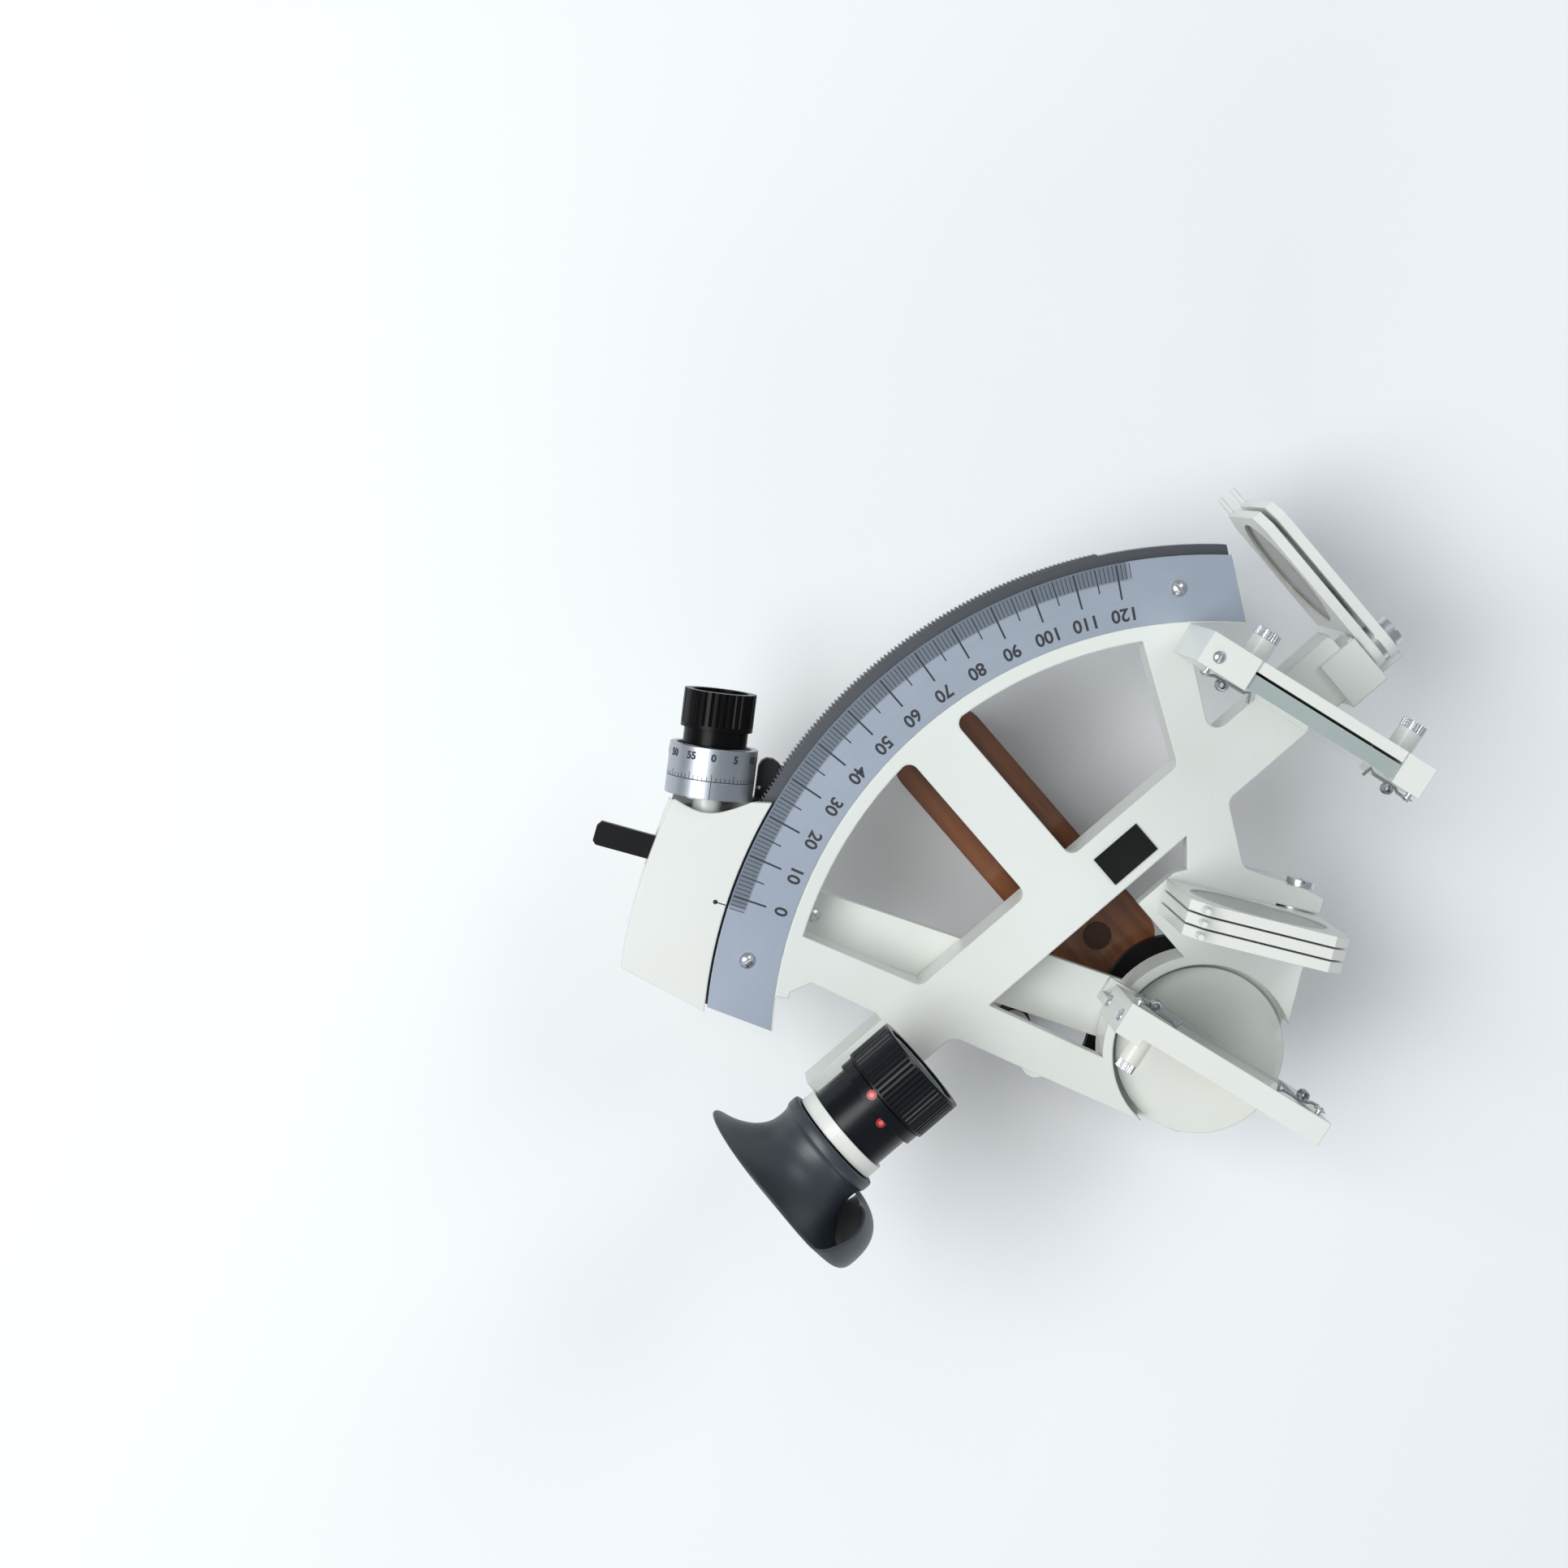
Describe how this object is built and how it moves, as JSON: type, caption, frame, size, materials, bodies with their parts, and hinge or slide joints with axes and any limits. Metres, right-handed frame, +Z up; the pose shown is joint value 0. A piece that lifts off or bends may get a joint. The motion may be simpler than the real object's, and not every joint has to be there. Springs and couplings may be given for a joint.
{
  "type": "marine sextant",
  "caption": "Small marine sextant with a drum micrometer, folding shades, monocular and wooden handle, lying on its legs.",
  "frame": {"origin": "centre of the footprint, on the surface the legs stand on", "axes": "+X along the line of sight from the eyecup to the horizon mirror, +Y from the arm's pivot towards the middle of the arc, +Z up out of the frame's front face"},
  "size_m": [0.209, 0.1792, 0.1065],
  "materials": {
    "enamel": "cream stoved enamel",
    "scale_metal": "satin silver-blue with dark graduations",
    "bright_metal": "bright turned steel",
    "rack_metal": "cut steel teeth, lightly oiled",
    "brass": "dull brass",
    "drum_metal": "satin with dark graduations",
    "mirror_glass": "silvered plate glass",
    "shade_glass": "smoked neutral glass",
    "lens_glass": "coated lens",
    "black_metal": "gloss black",
    "black_plastic": "ribbed black",
    "rubber": "soft matt",
    "wood": "varnished"
  },
  "bodies": {
    "frame": {"frame_casting": "enamel", "scale_plate": "scale_metal", "scale_plate_screws": "bright_metal", "tangent_rack": "rack_metal", "bearing_bush": "brass", "horizon_mirror_holder": "enamel", "horizon_mirror_glass": "mirror_glass", "horizon_mirror_springs": "bright_metal", "horizon_mirror_screws": "bright_metal", "index_shade_pin": "bright_metal", "index_shade_washers": "brass", "horizon_shade_pin": "bright_metal", "horizon_shade_washers": "brass", "telescope_collar": "enamel", "telescope_tube": "black_metal", "eyepiece_lens": "lens_glass", "handle_bracket": "black_metal", "handle_grip": "wood", "handle_screws": "bright_metal", "handle_plug": "black_plastic", "legs": "enamel", "leg_tips": "rubber", "name_plate": "black_metal"},
    "index_arm": {"index_arm": "enamel", "arm_shaft": "bright_metal", "arm_nut": "bright_metal", "mirror_disc": "enamel", "index_mirror_holder": "enamel", "index_mirror_glass": "mirror_glass", "index_mirror_springs": "bright_metal", "index_mirror_screws": "bright_metal", "index_housing": "enamel", "housing_screws": "bright_metal", "carrier_pivot": "bright_metal", "carrier_spring": "bright_metal"},
    "worm_carrier": {"worm_carrier": "black_metal", "spindle_bush": "brass", "index_ring": "drum_metal", "release_lever": "black_metal"},
    "drum": {"tangent_worm": "bright_metal", "worm_spindle": "bright_metal", "micrometer_drum": "drum_metal", "drum_knob": "black_plastic"},
    "index_shade_1": {"index_shade_1": "enamel", "index_shade_glass_1": "shade_glass"},
    "index_shade_2": {"index_shade_2": "enamel", "index_shade_glass_2": "shade_glass"},
    "index_shade_3": {"index_shade_3": "enamel", "index_shade_glass_3": "shade_glass"},
    "horizon_shade_1": {"horizon_shade_1": "enamel", "horizon_shade_glass_1": "shade_glass"},
    "horizon_shade_2": {"horizon_shade_2": "enamel", "horizon_shade_glass_2": "shade_glass"},
    "focus_ring": {"focus_ring": "black_metal"},
    "objective": {"objective_cell": "bright_metal", "objective_lens": "lens_glass"},
    "eyecup": {"eyecup": "rubber"},
    "index_adjuster": {"index_adjuster": "bright_metal"},
    "horizon_adjuster_upper": {"horizon_adjuster_upper": "bright_metal"},
    "horizon_adjuster_lower": {"horizon_adjuster_lower": "bright_metal"}
  },
  "joints": [
    {"name": "arm_swing", "type": "hinge", "parent": "frame", "child": "index_arm", "pos_m": [-0.0006, -0.0648, 0.052], "axis": [0, 0, -1], "range_deg": [-1, 60.5]},
    {"name": "release_swing", "type": "hinge", "parent": "index_arm", "child": "worm_carrier", "pos_m": [-0.06252, 0.06375, 0.0555], "axis": [0, 0, -1], "range_deg": [0, 2], "stiffness_Nm_per_rad": 0.6, "springref_deg": -1.15, "deforming": ["carrier_spring"]},
    {"name": "drum_spin", "type": "hinge", "parent": "worm_carrier", "child": "drum", "pos_m": [-0.04513, 0.07134, 0.0555], "axis": [0.7431, 0.6691, 0], "range_deg": [-720, 43560]},
    {"name": "index_shade_1_swing", "type": "hinge", "parent": "frame", "child": "index_shade_1", "pos_m": [0.03672, -0.05542, 0.0565], "axis": [0.8211, 0.5707, 0], "range_deg": [0, 115]},
    {"name": "index_shade_2_swing", "type": "hinge", "parent": "frame", "child": "index_shade_2", "pos_m": [0.03672, -0.05542, 0.0565], "axis": [0.8211, 0.5707, 0], "range_deg": [0, 115]},
    {"name": "index_shade_3_swing", "type": "hinge", "parent": "frame", "child": "index_shade_3", "pos_m": [0.03672, -0.05542, 0.0565], "axis": [0.8211, 0.5707, 0], "range_deg": [0, 115]},
    {"name": "horizon_shade_1_swing", "type": "hinge", "parent": "frame", "child": "horizon_shade_1", "pos_m": [0.0974, -0.0148, 0.0565], "axis": [1, 0, 0], "range_deg": [0, 120]},
    {"name": "horizon_shade_2_swing", "type": "hinge", "parent": "frame", "child": "horizon_shade_2", "pos_m": [0.0974, -0.0148, 0.0565], "axis": [1, 0, 0], "range_deg": [0, 120]},
    {"name": "focus_turn", "type": "hinge", "parent": "frame", "child": "focus_ring", "pos_m": [-0.0596, -0.01572, 0.082], "axis": [1, 0, 0], "range_deg": [-90, 90]},
    {"name": "objective_slide", "type": "slide", "parent": "frame", "child": "objective", "axis": [1, 0, 0], "range_m": [-0.0015, 0.0015]},
    {"name": "eyecup_turn", "type": "hinge", "parent": "frame", "child": "eyecup", "pos_m": [-0.0956, -0.01572, 0.082], "axis": [1, 0, 0], "continuous": true},
    {"name": "index_adjuster_turn", "type": "hinge", "parent": "index_arm", "child": "index_adjuster", "pos_m": [-0.01517, -0.04841, 0.082], "axis": [0.9542, 0.299, 0], "range_deg": [-180, 180]},
    {"name": "horizon_upper_turn", "type": "hinge", "parent": "frame", "child": "horizon_adjuster_upper", "pos_m": [0.07504, 0.00839, 0.082], "axis": [-0.9542, -0.299, 0], "range_deg": [-180, 180]},
    {"name": "horizon_lower_turn", "type": "hinge", "parent": "frame", "child": "horizon_adjuster_lower", "pos_m": [0.08763, -0.03179, 0.082], "axis": [-0.9542, -0.299, 0], "range_deg": [-180, 180]}
  ],
  "couplings": [
    {"joint": "arm_swing", "follows": "drum_spin", "ratio": 0.0013889},
    {"joint": "objective_slide", "follows": "focus_turn", "m_per_rad": 0.00095}
  ]
}
